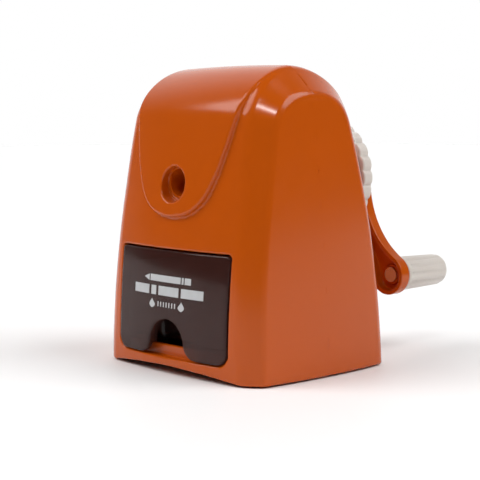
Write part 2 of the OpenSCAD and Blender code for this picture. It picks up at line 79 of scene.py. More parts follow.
class Curve:
    """signed distance to a smooth curve in a plane, positive on its left-hand normal's side"""

    def __init__(self, pts, lo, hi, closed=False, flip=False, cell=0.5, ds=0.12):
        p = np.asarray(pts, float)
        if closed:
            p = np.vstack([p, p[:1]])
        seg = np.linalg.norm(np.diff(p, axis=0), axis=1)
        s = np.concatenate([[0], np.cumsum(seg)])
        n = int(s[-1] / ds)
        t = np.linspace(0, s[-1], n + 1)
        q = np.stack([np.interp(t, s, p[:, 0]), np.interp(t, s, p[:, 1])], 1)
        if closed:
            q = q[:-1]
        self.closed, self.q, self.n, self.ds = closed, q, len(q), s[-1] / n
        if closed:
            d = np.roll(q, -1, 0) - np.roll(q, 1, 0)
        else:
            d = np.gradient(q, axis=0)
        # even out the tangents a little, so that highlights run smoothly
        for _ in range(6):
            if closed:
                d = (np.roll(d, 1, 0) + 2 * d + np.roll(d, -1, 0)) / 4
            else:
                e = d.copy()
                e[1:-1] = (d[:-2] + 2 * d[1:-1] + d[2:]) / 4
                d = e
        d /= np.linalg.norm(d, axis=1)[:, None]
        self.t = d
        sg = -1 if flip else 1
        self.nrm = np.stack([-d[:, 1], d[:, 0]], 1) * sg
        self.lo, self.cell = np.array(lo, float), cell
        self.shape = (int((hi[0] - lo[0]) / cell) + 2, int((hi[1] - lo[1]) / cell) + 2)
        gx = lo[0] + cell * np.arange(self.shape[0])
        gy = lo[1] + cell * np.arange(self.shape[1])
        lut = np.zeros(self.shape, np.int32)
        for i, x in enumerate(gx):
            dd = (gy[:, None] - q[None, :, 1]) ** 2 + (x - q[None, :, 0]) ** 2
            lut[i] = dd.argmin(1)
        self.lut = lut

    def __call__(self, u, v, index=False):
        i = np.clip(((u - self.lo[0]) / self.cell + 0.5).astype(int), 0, self.shape[0] - 1)
        j = np.clip(((v - self.lo[1]) / self.cell + 0.5).astype(int), 0, self.shape[1] - 1)
        k = self.lut[i, j]
        for _ in range(3):
            du, dv = u - self.q[k, 0], v - self.q[k, 1]
            step = np.rint((du * self.t[k, 0] + dv * self.t[k, 1]) / self.ds * 0.8).astype(int)
            k = k + np.clip(step, -12, 12)
            k = k % self.n if self.closed else np.clip(k, 0, self.n - 1)
        du, dv = u - self.q[k, 0], v - self.q[k, 1]
        al = du * self.t[k, 0] + dv * self.t[k, 1]
        k2 = np.where(al > 0, k + 1, k - 1)
        k2 = k2 % self.n if self.closed else np.clip(k2, 0, self.n - 1)
        w = np.clip(absol(al) / self.ds, 0, 1)
        nx = self.nrm[k, 0] * (1 - w) + self.nrm[k2, 0] * w
        ny = self.nrm[k, 1] * (1 - w) + self.nrm[k2, 1] * w
        qx = self.q[k, 0] * (1 - w) + self.q[k2, 0] * w
        qy = self.q[k, 1] * (1 - w) + self.q[k2, 1] * w
        d = (u - qx) * nx + (v - qy) * ny
        return (d, qx, qy) if index else d


def bez(p0, p1, p2, p3, n):
    t = np.linspace(0, 1, n)[:, None]
    p0, p1, p2, p3 = (np.array(p, float) for p in (p0, p1, p2, p3))
    return (1 - t) ** 3 * p0 + 3 * (1 - t) ** 2 * t * p1 + 3 * (1 - t) * t * t * p2 + t ** 3 * p3


def body_profile():
    z = np.linspace(-8, ZS, 200)
    sf = 0.00907 - 2 * 0.001405 * ZS
    sr = -0.02595 - 2 * 0.001719 * ZS
    f0 = (-bf(ZS), ZS)
    r0 = (rr(ZS), ZS)
    fr = np.stack([-bf(z), z], 1)
    fa = bez(f0, (f0[0] - sf * 6.5, ZS + 6.5), (YC - 13, H), (YC, H), 200)
    ra = bez(r0, (r0[0] + sr * 12.5, ZS + 12.5), (YC + 8, H), (YC, H), 200)
    re = np.stack([rr(z), z], 1)
    return np.vstack([fr, fa[1:], ra[::-1][1:], re[::-1][1:]])


PROF = Curve(body_profile(), (-50, -12), (56, 112))
TONGUE = np.array([[0, 51.0], [3.6, 51.2], [6.7, 51.8], [9.4, 52.8], [11.5, 54.1], [13.4, 55.6], [14.9, 57.2],
                   [16.5, 59.5], [17.7, 62], [19.1, 65], [20.2, 68], [21.1, 71], [22, 74], [22.9, 77.5], [23.8, 81],
                   [24.7, 84.5], [25.3, 88], [25.7, 91], [26.0, 94], [26.3, 97], [26.5, 100], [26.6, 104], [26.7, 112]])


def spline(p, n):
    """a smooth curve through the points"""
    p = np.asarray(p, float)
    out = []
    e = np.vstack([2 * p[0] - p[1], p, 2 * p[-1] - p[-2]])
    e[0] = (-p[1][0], p[1][1]) if p[0][0] == 0 else e[0]
    for i in range(1, len(e) - 2):
        a, b, c, d = e[i - 1], e[i], e[i + 1], e[i + 2]
        t = np.linspace(0, 1, n, endpoint=False)[:, None]
        out.append(0.5 * (2 * b + (c - a) * t + (2 * a - 5 * b + 4 * c - d) * t ** 2 + (3 * b - a - 3 * c + d) * t ** 3))
    out.append(e[-2:-1])
    return np.vstack(out)


_half = spline(TONGUE, 16)
_w = np.array([1, 4, 6, 4, 1]) / 16.0
_full = np.vstack([_half[::-1] * [-1, 1], _half[1:]])
for _ in range(14):
    q = np.pad(_full, ((2, 2), (0, 0)), mode="edge")
    _full[2:-2] = (sum(_w[i] * q[i:i + len(_full)] for i in range(5)))[2:-2]
TONG = Curve(_full, (-48, 40), (48, 112), flip=True)     # positive outside the tongue


def crown_k(z):
    return np.where(z < 60, 1.0, np.maximum(0.3, 1 - (z - 60) / 57))


def base_fields(x, y, z):
    """distances to the front-top-rear strip, to the sides, and to the band between them"""
    d, yp, zp = PROF(y, z, index=True)
    t = np.clip((y + 14) / 28, 0, 1)
    t = t * t * (3 - 2 * t)
    K = (2.32 * (1 - t) + 1.16 * t) * crown_k(z)
    a = aw(np.minimum(z, 88))
    dp = d + K * (x / 28.0) ** 2
    ds = absol(x) - (a - 1.7327 * (y / 28.0) ** 2)
    c = C + 0.018 * np.maximum(zp - 90, 0) ** 2          # the band widens over the crest
    n0 = c - 1.7327 * (yp / 28.0) ** 2
    n1 = c - K * ((a - c) / 28.0) ** 2
    dc = (n0 * (d + c) + n1 * ds) / sqrt(n0 * n0 + n1 * n1)
    return dp, ds, dc


def body_field(dp, ds, dc):
    return np.maximum(rmax(dp, dc, 1.15), rmax(ds, dc, 1.0))


def box2(u, v, hu, v0, v1, rb, rt):
    """rounded rectangle, own radius at the bottom and at the top"""
    vc, hv = (v0 + v1) / 2, (v1 - v0) / 2
    r = np.where(v > vc, rt, rb)
    qu, qv = absol(u) - hu + r, absol(v - vc) - hv + r
    return np.minimum(np.maximum(qu, qv), 0) + sqrt(np.maximum(qu, 0) ** 2 + np.maximum(qv, 0) ** 2) - r


def box3(x, y, z, lo, hi, r=0.0):
    c = [(a + b) / 2 for a, b in zip(lo, hi)]
    h = [(b - a) / 2 - r for a, b in zip(lo, hi)]
    qx, qy, qz = absol(x - c[0]) - h[0], absol(y - c[1]) - h[1], absol(z - c[2]) - h[2]
    return (np.minimum(np.maximum(qx, np.maximum(qy, qz)), 0)
            + sqrt(np.maximum(qx, 0) ** 2 + np.maximum(qy, 0) ** 2 + np.maximum(qz, 0) ** 2) - r)


def ycyl(x, y, z, y0, y1, r, cx=0.0, cz=ZAX, e=0.0):
    a = np.hypot(x - cx, z - cz) - r
    b = absol(y - (y0 + y1) / 2) - (y1 - y0) / 2
    return rmax(a, b, e) if e else np.maximum(a, b)


def zcyl(x, y, z, z0, z1, r, cx, cy):
    return np.maximum(np.hypot(x - cx, y - cy) - r, absol(z - (z0 + z1) / 2) - (z1 - z0) / 2)


# ---------------------------------------------------------------- mesher
def field_mesh(name, f, lo, hi, h, iters=4, crease=None):
    """dual mesh of a field's zero surface: one vertex per crossed cell, moved onto the surface, with the field's own normals"""
    lo, hi = np.array(lo, float), np.array(hi, float)
    n = np.ceil((hi - lo) / h).astype(int) + 1
    gx, gy, gz = (lo[i] + h * np.arange(n[i]) for i in range(3))
    V = np.empty(n, np.float32)
    for i in range(0, n[0], 16):
        X, Y, Z = np.meshgrid(gx[i:i + 16], gy, gz, indexing="ij")
        V[i:i + 16] = f(X.ravel(), Y.ravel(), Z.ravel()).reshape(X.shape)
    S = V < 0
    m = n - 1
    cnt = np.zeros(m, np.uint8)
    acc = [np.zeros(m, np.float32) for _ in range(3)]
    quads = []
    cross = []
    for ax in range(3):
        a = [slice(None)] * 3
        b = [slice(None)] * 3
        a[ax], b[ax] = slice(0, -1), slice(1, None)
        a, b = tuple(a), tuple(b)
        hit = S[a] != S[b]
        va, vb = V[a], V[b]
        idx = np.argwhere(hit)
        t = va[hit] / (va[hit] - vb[hit])
        sign = S[a][hit]
        cross.append((ax, idx, t, sign))
        o = [(ax + 1) % 3, (ax + 2) % 3]
        for du in (0, -1):
            for dv in (0, -1):
                c = idx.copy()
                c[:, o[0]] += du
                c[:, o[1]] += dv
                ok = np.all((c >= 0) & (c < m), axis=1)
                c, tt, ii = c[ok], t[ok], idx[ok]
                p = ii.astype(np.float32)
                p[:, ax] += tt
                flat = np.ravel_multi_index(c.T, m)
                np.add.at(cnt.reshape(-1), flat, 1)
                for k in range(3):
                    np.add.at(acc[k].reshape(-1), flat, p[:, k])
    act = cnt > 0
    vid = -np.ones(m, np.int64)
    vid[act] = np.arange(act.sum())
    P = np.stack([acc[k][act] / cnt[act] for k in range(3)], 1).astype(float) * h + lo
    for ax, idx, t, sign in cross:
        o = [(ax + 1) % 3, (ax + 2) % 3]
        ring = []
        ok = np.ones(len(idx), bool)
        for du, dv in ((0, 0), (-1, 0), (-1, -1), (0, -1)):
            c = idx.copy()
            c[:, o[0]] += du
            c[:, o[1]] += dv
            ok &= np.all((c >= 0) & (c < m), axis=1)
            ring.append(c)
        q = np.stack([vid[tuple(np.clip(c, 0, m - 1).T)] for c in ring], 1)
        q = np.where(sign[:, None], q, q[:, ::-1])[ok]
        quads.append(q)
    Q = np.vstack(quads)
    P0 = P.copy()

    def grad(P, e=0.04):
        g = np.empty_like(P)
        for k in range(3):
            d = np.zeros(3)
            d[k] = e
            a, b = P + d, P - d
            g[:, k] = (f(*a.T) - f(*b.T)) / (2 * e)
        return g

    for it in range(iters):
        v, g = f(*P.T), grad(P)
        step = g * (v / np.maximum((g * g).sum(1), 0.2))[:, None]
        L = np.linalg.norm(step, axis=1)
        step *= np.minimum(1, 0.6 * h / np.maximum(L, 1e-9))[:, None]
        P = P - step
    far = np.linalg.norm(P - P0, axis=1)
    P = P0 + (P - P0) * np.minimum(1, 1.2 * h / np.maximum(far, 1e-9))[:, None]
    keep = None
    if crease is not None:
        g1, g2 = crease
        near = (absol(g1(*P0.T)) < 0.46 * h) & (absol(g2(*P0.T)) < 0.46 * h)
        E = P0[near]
        for it in range(6):
            for g in (g1, g2):
                gr = np.stack([(g(*(E + d).T) - g(*(E - d).T)) / 0.06 for d in np.eye(3) * 0.03], 1)
                E = E - gr * (g(*E.T) / np.maximum((gr * gr).sum(1), 0.2))[:, None]
        good = np.linalg.norm(E - P0[near], axis=1) < 0.9 * h
        keep = np.flatnonzero(near)[good]
        P[keep] = E[good]
    N = grad(P, 0.06)
    if keep is not None and len(keep):
        E = P[keep]
        N[keep] = np.stack([(crease[0](*(E + d).T) - crease[0](*(E - d).T)) for d in np.eye(3) * 0.06], 1)
    N /= np.maximum(np.linalg.norm(N, axis=1), 1e-9)[:, None]
    return P, Q, N


def make_object(name, P, Q, N=None):
    me = bpy.data.meshes.new(name)
    k = Q.shape[1]
    me.vertices.add(len(P))
    me.vertices.foreach_set("co", (P / 1000.0).astype(np.float32).ravel())
    me.loops.add(len(Q) * k)
    me.loops.foreach_set("vertex_index", Q.astype(np.int32).ravel())
    me.polygons.add(len(Q))
    me.polygons.foreach_set("loop_start", (np.arange(len(Q)) * k).astype(np.int32))
    me.polygons.foreach_set("use_smooth", np.ones(len(Q), bool))
    me.update(calc_edges=True)
    me.validate()
    if N is not None and len(me.vertices) == len(N):
        me.normals_split_custom_set_from_vertices(N.astype(np.float32).tolist())
    ob = bpy.data.objects.new(name, me)
    bpy.context.scene.collection.objects.link(ob)
    return ob


def field_object(name, f, lo, hi, h, crease=None):
    P, Q, N = field_mesh(name, f, lo, hi, h, crease=crease)
    ob = make_object(name, P, Q, N)
    print("piece", name, len(P), "verts", len(Q), "quads")
    return ob

# ---------------------------------------------------------------- the pieces' fields
TOP_SCREWS = [(-26.5, 76.5), (26.5, 76.5)]
LOW_SCREWS = [(-31.6, 15.5), (31.6, 15.5)]
POSTS = [(-31.4, -19.5), (31.4, -19.5), (-31.4, 27.0), (31.4, 27.0)]
SEAM_C = math.cos(math.atan(0.045))
DH, DZ0, DZ1 = 26.8, 5.8, 40.3


def seam(y, z):
    return (y - 2.85 + 0.045 * z) * SEAM_C


def rim(x, y, z):
    R = (31.6 ** 2 + 2.2 ** 2) / 4.4
    arch = (FOOT + 2.2 - R) + sqrt(np.maximum(R * R - x * x, 1))
    t = np.clip((-y - 27.0) / 2.0, 0, 1)
    up = np.maximum(arch, FOOT)
    return FOOT + (up - FOOT) * t * t * (3 - 2 * t) - z


def plate_room(x, y, z):
    k = absol(x) + absol(y - 3.15) - 59.15
    d = np.maximum(np.maximum(absol(x) - 36.05, absol(y - 3.15) - 30.9), k * 0.70711)
    return np.maximum(d, absol(z - 3.55) - 1.1)


def front_outer(x, y, z):
    dp, ds, dc = base_fields(x, y, z)
    base = body_field(dp, ds, dc)
    t = np.clip((z - 85) / 14.5, 0, 1)
    up = 1.7 * (1 - t * t * (3 - 2 * t))
    dt = TONG(x, z)
    ton = rmax(dp - up, 0.98 * dt + 0.2 * np.clip(dp, -1, 2), 0.6)
    ton = rmax(ton, dc, 0.6)
    ton = np.where(y < 6, ton, 5.0)
    return rmin(base, ton, 0.4), base


def rear_outer(x, y, z):
    return body_field(*base_fields(x, y, z))


def front_casing(x, y, z):
    out, base = front_outer(x, y, z)
    f = np.maximum(out, -(base + WALL))
    # inside: the guide's seat, screw posts, drawer side guides, the sill
    ins = ycyl(x, y, z, -27, -19.5, 10.4)
    for p in TOP_SCREWS:
        ins = np.minimum(ins, ycyl(x, y, z, -30, 30, 3.4, p[0], p[1]))
    for p in LOW_SCREWS:
        ins = np.minimum(ins, ycyl(x, y, z, -40, 30, 3.4, p[0], p[1]))
    ax = absol(x)
    ins = np.minimum(ins, box3(x, y, z, (-36, -40, 3.3), (36, -19, 5.2)))
    ins = np.minimum(ins, box3(ax, y, z, (28.0, -22.9, 4.7), (37.4, -16.1, 13.7)))
    ins = np.minimum(ins, box3(ax, y, z, (28.4, -40, 5), (30.0, -4, 39)))
    ins = np.minimum(ins, box3(ax, y, z, (29, -14, 30), (37, -12, 38)))
    ins = np.minimum(ins, box3(ax, y, z, (29, -30, 24), (37, -28, 38)))
    ins = np.maximum(ins, base + 1.0)
    f = rmin(f, ins, 0.4)
    f = rmax(f, seam(y, z) + 0.005, 0.03)
    f = rmax(f, rim(x, y, z), 0.4)
    f = rmax(f, -np.maximum(box2(x, z, DH + 0.35, DZ0 - 0.35, DZ1 + 0.35, 4.4, 1.5), y + 22), 0.45)
    f = rmin(f, box3(x, y, z, (-24, -28.6, 4.0), (24, -26.8, 8.8), 0.4), 0.5)      # lip behind the drawer front
    # inner half of the wall runs on past the split line, inside the rear shell
    sd = (y - 2.85 + 0.045 * z)
    lap = np.maximum(np.maximum(base + 0.22, -(base + 1.5)), np.maximum(sd - 1.1, -sd - 1.5))
    lap = np.maximum(lap, 1.2 - z)
    f = np.minimum(f, lap)
    rad = np.hypot(x, z - ZAX)
    f = rmax(f, -np.maximum(np.hypot(x, z - ZAX + 0.6) - 5.75, y + 26.5), 0.6)
    f = rmax(f, -np.maximum(rad - 5.15, y + 10), 0.2)
    f = np.maximum(f, -np.maximum(rad - 8.7, absol(y + 17) - 7.0))
    for p in TOP_SCREWS:
        f = np.maximum(f, -ycyl(x, y, z, -20, 30, 1.52, p[0], p[1]))
    for p in LOW_SCREWS:
        f = np.maximum(f, -ycyl(x, y, z, -19, 30, 1.52, p[0], p[1]))
    for p in POSTS[:2]:
        f = np.maximum(f, -zcyl(x, y, z, 2, 12, 1.46, p[0], p[1]))
    return np.maximum(f, -plate_room(x, y, z))


def sector(x, y, z, r0, r1, y0, y1, a0, a1):
    """tube sector round the main axis, angles in X, Z"""
    rad = np.hypot(x, z - ZAX)
    ang = np.degrees(np.arctan2(z - ZAX, x))
    mid, hw = (a0 + a1) / 2, (a1 - a0) / 2
    da = absol((ang - mid + 180) % 360 - 180) - hw
    return np.maximum(np.maximum(np.maximum(rad - r1, r0 - rad), absol(y - (y0 + y1) / 2) - (y1 - y0) / 2),
                      np.radians(da) * rad)


def rear_casing(x, y, z):
    dp, ds, dc = base_fields(x, y, z)
    base = body_field(dp, ds, dc)
    f = np.maximum(base, -(base + WALL))
    ax = absol(x)
    ins = ycyl(x, y, z, -20, 40, 3.4, TOP_SCREWS[0][0], TOP_SCREWS[0][1])
    ins = np.minimum(ins, ycyl(x, y, z, -20, 40, 3.4, TOP_SCREWS[1][0], TOP_SCREWS[1][1]))
    for p in LOW_SCREWS:
        ins = np.minimum(ins, ycyl(x, y, z, -20, 45, 3.4, p[0], p[1]))
    ins = np.minimum(ins, box3(ax, y, z, (28.0, 23.6, 4.7), (37.4, 30.4, 13.7)))
    ins = np.maximum(ins, base + 1.0)
    f = rmin(f, ins, 0.4)
    f = rmax(f, -seam(y, z) + 0.01, 0.03)
    f = rmax(f, rim(x, y, z), 0.4)
    rad = np.hypot(x, z - ZAX)
    boss = rmax(rad - 19, absol(y - 30) - 9.2, 0.7)
    f = rmin(f, boss, 0.9)
    f = rmax(f, -np.maximum(rad - 16.7, -y), 0.35)
    for p in TOP_SCREWS:
        f = np.maximum(f, -ycyl(x, y, z, -20, 40, 1.7, p[0], p[1]))
        f = rmax(f, -ycyl(x, y, z, 14, 60, 3.0, p[0], p[1]), 0.3)
    for p in LOW_SCREWS:
        f = np.maximum(f, -ycyl(x, y, z, -20, 60, 1.7, p[0], p[1]))
        f = rmax(f, -ycyl(x, y, z, 22, 60, 3.0, p[0], p[1]), 0.3)
    for p in POSTS[2:]:
        f = np.maximum(f, -zcyl(x, y, z, 2, 12, 1.46, p[0], p[1]))
    for a in (0, 180):
        f = np.maximum(f, -sector(x, y, z, 15.7, 17.9, 22.4, 60, a - 9, a + 9))
        f = np.maximum(f, -sector(x, y, z, 15.7, 17.9, 30.4, 34.2, a - 9, a + 52))
    return np.maximum(f, -plate_room(x, y, z))


def bell(x, z, g=0.0):
    c = np.hypot(x, z - 9.6) - 8.4 - g
    low = np.maximum(absol(x) - 14.0 - g, np.maximum(z - 11.7, 3 - z))
    side = 5.9 - g - np.hypot(absol(x) - 14.0, z - 11.7)
    return np.minimum(c, np.maximum(low, side))


TRAY, TY1, TZ = 25.6, 19.0, 9.2


def drawer(x, y, z):
    dp, ds, dc = base_fields(x, y, z)
    base = body_field(dp, ds, dc)
    # front panel: an even wall, a little proud of the casing, its edge rounded
    p = rmax(dp - 0.35, box2(x, z, DH - 0.12, DZ0 + 0.05, DZ1 - 0.1, 4.2, 1.3), 0.6)
    p = np.maximum(p, -(dp + 1.6))
    p = np.maximum(p, y + 20)
    tray = rmax(box2(x, z, TRAY, TZ, DZ0 + 29, 2.4, 0.5), absol(y - (TY1 - 33) / 2) - (TY1 + 33) / 2, 0.5)
    tray = np.maximum(tray, dp + 1.0)
    hollow = rmax(box2(x, z, TRAY - 1.5, TZ + 1.5, 60, 1.2, 1.0), y - TY1 + 1.5, 1.0)
    hollow = np.maximum(hollow, dp + 1.6)
    pocket = box3(x, y, z, (-15.6, -33, TZ), (15.6, -20.1, 20.8), 1.2)
    tray = rmin(rmax(tray, -hollow, 0.3), np.maximum(pocket, dp + 1.0), 0.6)
    f = np.minimum(p, tray)
    f = rmax(f, -np.maximum(bell(x, z), y + 27), 0.5)
    cut = rmax(box2(x, y + 0 * x, 14.2, -29.3, -21.5, 0.6, 3.4), absol(z - 4.7) - 14.7, 1.4)
    return rmax(f, -cut, 0.25)


def collar(x, y, z):
    rad = np.hypot(x, z - ZAX)
    ph = np.arctan2(z - ZAX, x)
    lobe = absol(np.cos(12 * ph + pi / 2 * 0))
    R = 20.8 - 0.8 * (1 - lobe) ** 1.6
    f = rmax((rad - R) * 0.95, absol(y - 41.75) - 2.25, 0.6)
    skirt = rmax(rad - 16.6, absol(y - 33.25) - 6.35, 0.3)
    f = np.minimum(f, skirt)
    for a in (0, 180):
        f = np.minimum(f, sector(x, y, z, 15, 17.65, 30.7, 33.9, a - 8, a + 8))
    f = rmax(f, -np.maximum(rad - 14.6, y - 40.5), 0.2)
    f = rmax(f, 7.96 - rad, 0.25)
    dish = np.maximum(np.maximum(rad - 16.5, 10 - rad), 43.2 - y)
    return rmax(f, -dish, 0.3)


CR, CA = 41.9, math.radians(54.5)
KX, KZ = CR * math.cos(CA), ZAX - CR * math.sin(CA)


def arm_outline():
    hub, end, w = 13.0, 7.0, 4.0
    lo, hi = 10.0, 80.0
    for _ in range(50):
        m = (lo + hi) / 2
        s = math.sqrt(hub ** 2 - w ** 2 + 2 * m * (hub - w)) + math.sqrt(end ** 2 - w ** 2 + 2 * m * (end - w))
        lo, hi = (lo, m) if s > CR else (m, hi)
    R = lo
    s = math.sqrt(hub ** 2 - w ** 2 + 2 * R * (hub - w))
    D = w + R
    A, B = math.atan2(D, s), math.atan2(D, s - CR)

    def arc(cx, cy, r, a0, a1, n=160):
        a = np.linspace(a0, a1, n)
        return np.stack([cx + r * np.cos(a), cy + r * np.sin(a)], 1)
    top = np.vstack([arc(0, 0, hub, pi, A)[:-1], arc(s, D, R, pi + A, pi + B)[:-1], arc(CR, 0, end, B, 0)])
    return np.vstack([top, (top * [1, -1])[::-1][1:-1]])


ARM = Curve(arm_outline(), (-20, -20), (56, 20), closed=True)


def crank_arm(x, y, z):
    ca, sa = math.cos(CA), math.sin(CA)
    u = x * ca - (z - ZAX) * sa
    v = x * sa + (z - ZAX) * ca
    d = ARM(u, v)
    rad, end = np.hypot(u, v), np.hypot(u - CR, v)
    # the closed face swells slightly, its edge is well rounded
    f = rmax(rmax(d, y - 52.2, 1.1), 47.5 - y, 0.35)
    f = rmax(f, -np.maximum(rmax(d + 1.5, y - 50.9, 0.5), -(y - 40)), 0.3)
    f = rmin(f, np.maximum(rad - 6.6, absol(y - 48.65) - 2.85), 0.3)
    f = rmin(f, np.maximum(end - 3.6, absol(y - 50.85) - 0.65), 0.3)
    sq = np.maximum(np.maximum(absol(x), absol(z - ZAX)) - 2.5, y - 51)
    f = np.maximum(f, -sq)
    f = np.maximum(f, -(rad - 1.62))
    f = rmax(f, -np.maximum(rad - 3.3, 51.3 - y), 0.25)
    return np.maximum(f, -(end - 2.02))


def knob(x, y, z):
    rad = np.hypot(x - KX, z - KZ)
    ph = np.arctan2(z - KZ, x - KX)
    R = 6.0 - 0.5 * np.clip((y - 53.6) / 19.3, 0, 1)
    f = rmax(rmax(rad - R, y - 76.3, 3.2), 53.1 - y, 0.5)
    a = (ph + pi / 12) % (pi / 6) - pi / 12
    fl = np.hypot(rad * np.cos(a) - 6.2, rad * np.sin(a)) - 0.95
    fl = np.maximum(fl, 54.7 - y)
    f = rmax(f, -fl, 0.3)
    f = np.maximum(f, -np.maximum(rad - 2.06, y - 72.3))
    return np.maximum(f, -np.maximum(rad - 2.8, absol(y - 70.6) - 1.7))


# ---------------------------------------------------------------- materials
def mat(name, color, rough=0.3, metallic=0.0, coat=0.0, coat_rough=0.05, ior=1.5, sss=0.0, sss_r=(1, 0.3, 0.1), sss_scale=0.002,
        vary=0.06, vary_scale=60, rvar=0.06, rvar_scale=220, bump=0.02, bump_scale=900, dist=0.0001, transmission=0.0,
        spec=0.5, brush=None, alpha=None):
    m = bpy.data.materials.new(name)
    m.use_nodes = True
    nt = m.node_tree
    N, L = nt.nodes, nt.links
    b = N["Principled BSDF"]
    b.inputs["Metallic"].default_value = metallic
    b.inputs["IOR"].default_value = ior
    b.inputs["Coat Weight"].default_value = coat
    b.inputs["Coat Roughness"].default_value = coat_rough
    b.inputs["Specular IOR Level"].default_value = spec
    b.inputs["Transmission Weight"].default_value = transmission
    if sss:
        b.inputs["Subsurface Weight"].default_value = sss
        b.inputs["Subsurface Radius"].default_value = sss_r
        b.inputs["Subsurface Scale"].default_value = sss_scale
    tc = N.new("ShaderNodeTexCoord")

    def noise(scale, detail=4, stretch=None):
        n = N.new("ShaderNodeTexNoise")
        n.inputs["Scale"].default_value = scale
        n.inputs["Detail"].default_value = detail
        if stretch:
            mp = N.new("ShaderNodeMapping")
            mp.inputs["Scale"].default_value = stretch
            L.new(tc.outputs["Object"], mp.inputs["Vector"])
            L.new(mp.outputs["Vector"], n.inputs["Vector"])
        else:
            L.new(tc.outputs["Object"], n.inputs["Vector"])
        return n
    n1 = noise(vary_scale, 3)
    mx = N.new("ShaderNodeMix")
    mx.data_type = "RGBA"
    c = np.array(color[:3])
    mx.inputs[6].default_value = (*np.clip(c * (1 - vary), 0, 1), 1)
    mx.inputs[7].default_value = (*np.clip(c * (1 + vary), 0, 1), 1)
    L.new(n1.outputs["Fac"], mx.inputs[0])
    L.new(mx.outputs[2], b.inputs["Base Color"])
    n2 = noise(rvar_scale, 5, brush)
    mr = N.new("ShaderNodeMapRange")
    mr.inputs["To Min"].default_value = max(0.02, rough - rvar)
    mr.inputs["To Max"].default_value = rough + rvar
    L.new(n2.outputs["Fac"], mr.inputs["Value"])
    L.new(mr.outputs["Result"], b.inputs["Roughness"])
    if bump:
        n3 = noise(bump_scale, 6, brush)
        bp = N.new("ShaderNodeBump")
        bp.inputs["Strength"].default_value = bump
        bp.inputs["Distance"].default_value = dist
        L.new(n3.outputs["Fac"], bp.inputs["Height"])
        L.new(bp.outputs["Normal"], b.inputs["Normal"])
    if alpha is not None:
        b.inputs["Alpha"].default_value = alpha
    return m


M = {}
M["orange_shell"] = mat("orange_plastic", (0.505, 0.080, 0.0016), rough=0.17, spec=0.33, coat=0.0, coat_rough=0.06, sss=0.0,
                        sss_r=(1.0, 0.25, 0.05), sss_scale=0.0015, vary=0.035, vary_scale=35, rvar=0.05, rvar_scale=160,
                        bump=0.05, bump_scale=420, dist=0.00006)
M["white_plastic"] = mat("white_plastic", (0.66, 0.61, 0.56), rough=0.33, sss=0.2, sss_r=(1, 0.9, 0.8), sss_scale=0.0015,
                         vary=0.03, vary_scale=50, rvar=0.06, bump=0.06, bump_scale=700, dist=0.00006)
M["dark_plastic"] = mat("dark_plastic", (0.028, 0.026, 0.026), rough=0.5, vary=0.2, rvar=0.08, bump=0.25, bump_scale=1500, dist=0.00008)
M["foot_rubber"] = mat("foot_rubber", (0.02, 0.02, 0.02), rough=0.75, vary=0.25, rvar=0.1, bump=0.4, bump_scale=1200, dist=0.0001)
M["steel"] = mat("zinc_steel", (0.62, 0.62, 0.64), rough=0.3, metallic=1.0, vary=0.06, rvar=0.1, rvar_scale=500, bump=0.06,
                 bump_scale=1500, dist=0.00005)
M["spring_steel"] = mat("spring_steel", (0.52, 0.52, 0.55), rough=0.34, metallic=1.0, vary=0.06, rvar=0.08, rvar_scale=90,
                        brush=(1, 14, 14), bump=0.08, bump_scale=300, dist=0.00004)
M["pale_acetal"] = mat("pale_acetal", (0.70, 0.67, 0.61), rough=0.38, sss=0.2, sss_r=(1, 0.9, 0.8), sss_scale=0.002, vary=0.03,
                       rvar=0.06, bump=0.06, bump_scale=800, dist=0.00006)
M["tool_steel"] = mat("ground_tool_steel", (0.42, 0.42, 0.44), rough=0.26, metallic=1.0, vary=0.1, rvar=0.1, rvar_scale=160,
                      brush=(1, 9, 9), bump=0.12, bump_scale=500, dist=0.00004)
M["sintered_gear"] = mat("sintered_gear", (0.36, 0.34, 0.31), rough=0.5, metallic=1.0, vary=0.12, rvar=0.1, bump=0.3,
                         bump_scale=1800, dist=0.00005)


def smoke():
    """see-through smoke brown plastic: tinted all through, gloss on top, faint moulding haze"""
    m = mat("smoke_plastic", (0.046, 0.014, 0.0105), spec=0.33, rough=0.09, rvar=0.035, rvar_scale=90, vary=0.10, vary_scale=30,
            bump=0.02, bump_scale=300, dist=0.00005, coat=0.0, ior=1.5, transmission=0.0, alpha=0.74)
    return m


M["smoke_plastic"] = smoke()

# ---------------------------------------------------------------- build
BUILT = {}
for name, f, lo, hi, h, node, body, mt in [
    ("front_shell", front_casing, (-41, -36, -1), (41, 4.5, 101.5), 0.62, "front_casing", "body", "orange_shell"),
    ("rear_shell", rear_casing, (-41, -3.5, -1), (41, 40.2, 101.5), 0.68, "rear_casing", "body", "orange_shell"),
    ("drawer_shell", drawer, (-28.5, -34.5, 4.5), (28.5, 20.2, 41.8), 0.5, "shavings_drawer", "drawer", "smoke_plastic"),
    ("scalloped_collar", collar, (-21.6, 25.5, 40.5), (21.6, 45, 83.7), 0.42, "locking_collar", "collar", "white_plastic"),
    ("arm_shell", crank_arm, (-15, 44.8, 19.5), (33, 53.2, 77), 0.36, "crank_arm", "crank", "orange_shell"),
    ("fluted_grip", knob, (KX - 7, 52, KZ - 7), (KX + 7, 77.5, KZ + 7), 0.28, "handle_knob", "grip", "white_plastic"),
]:
    crease = None
    if name == "front_shell":
        crease = (lambda x, y, z: front_outer(x, y, z)[0], lambda x, y, z: seam(y, z) + 0.005)
    if name == "rear_shell":
        crease = (rear_outer, lambda x, y, z: seam(y, z) - 0.01)
    ob = field_object(name, f, lo, hi, h, crease)
    ob.data.materials.append(M[mt])
    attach(ob, body)
    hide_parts(node)
    BUILT[name] = ob


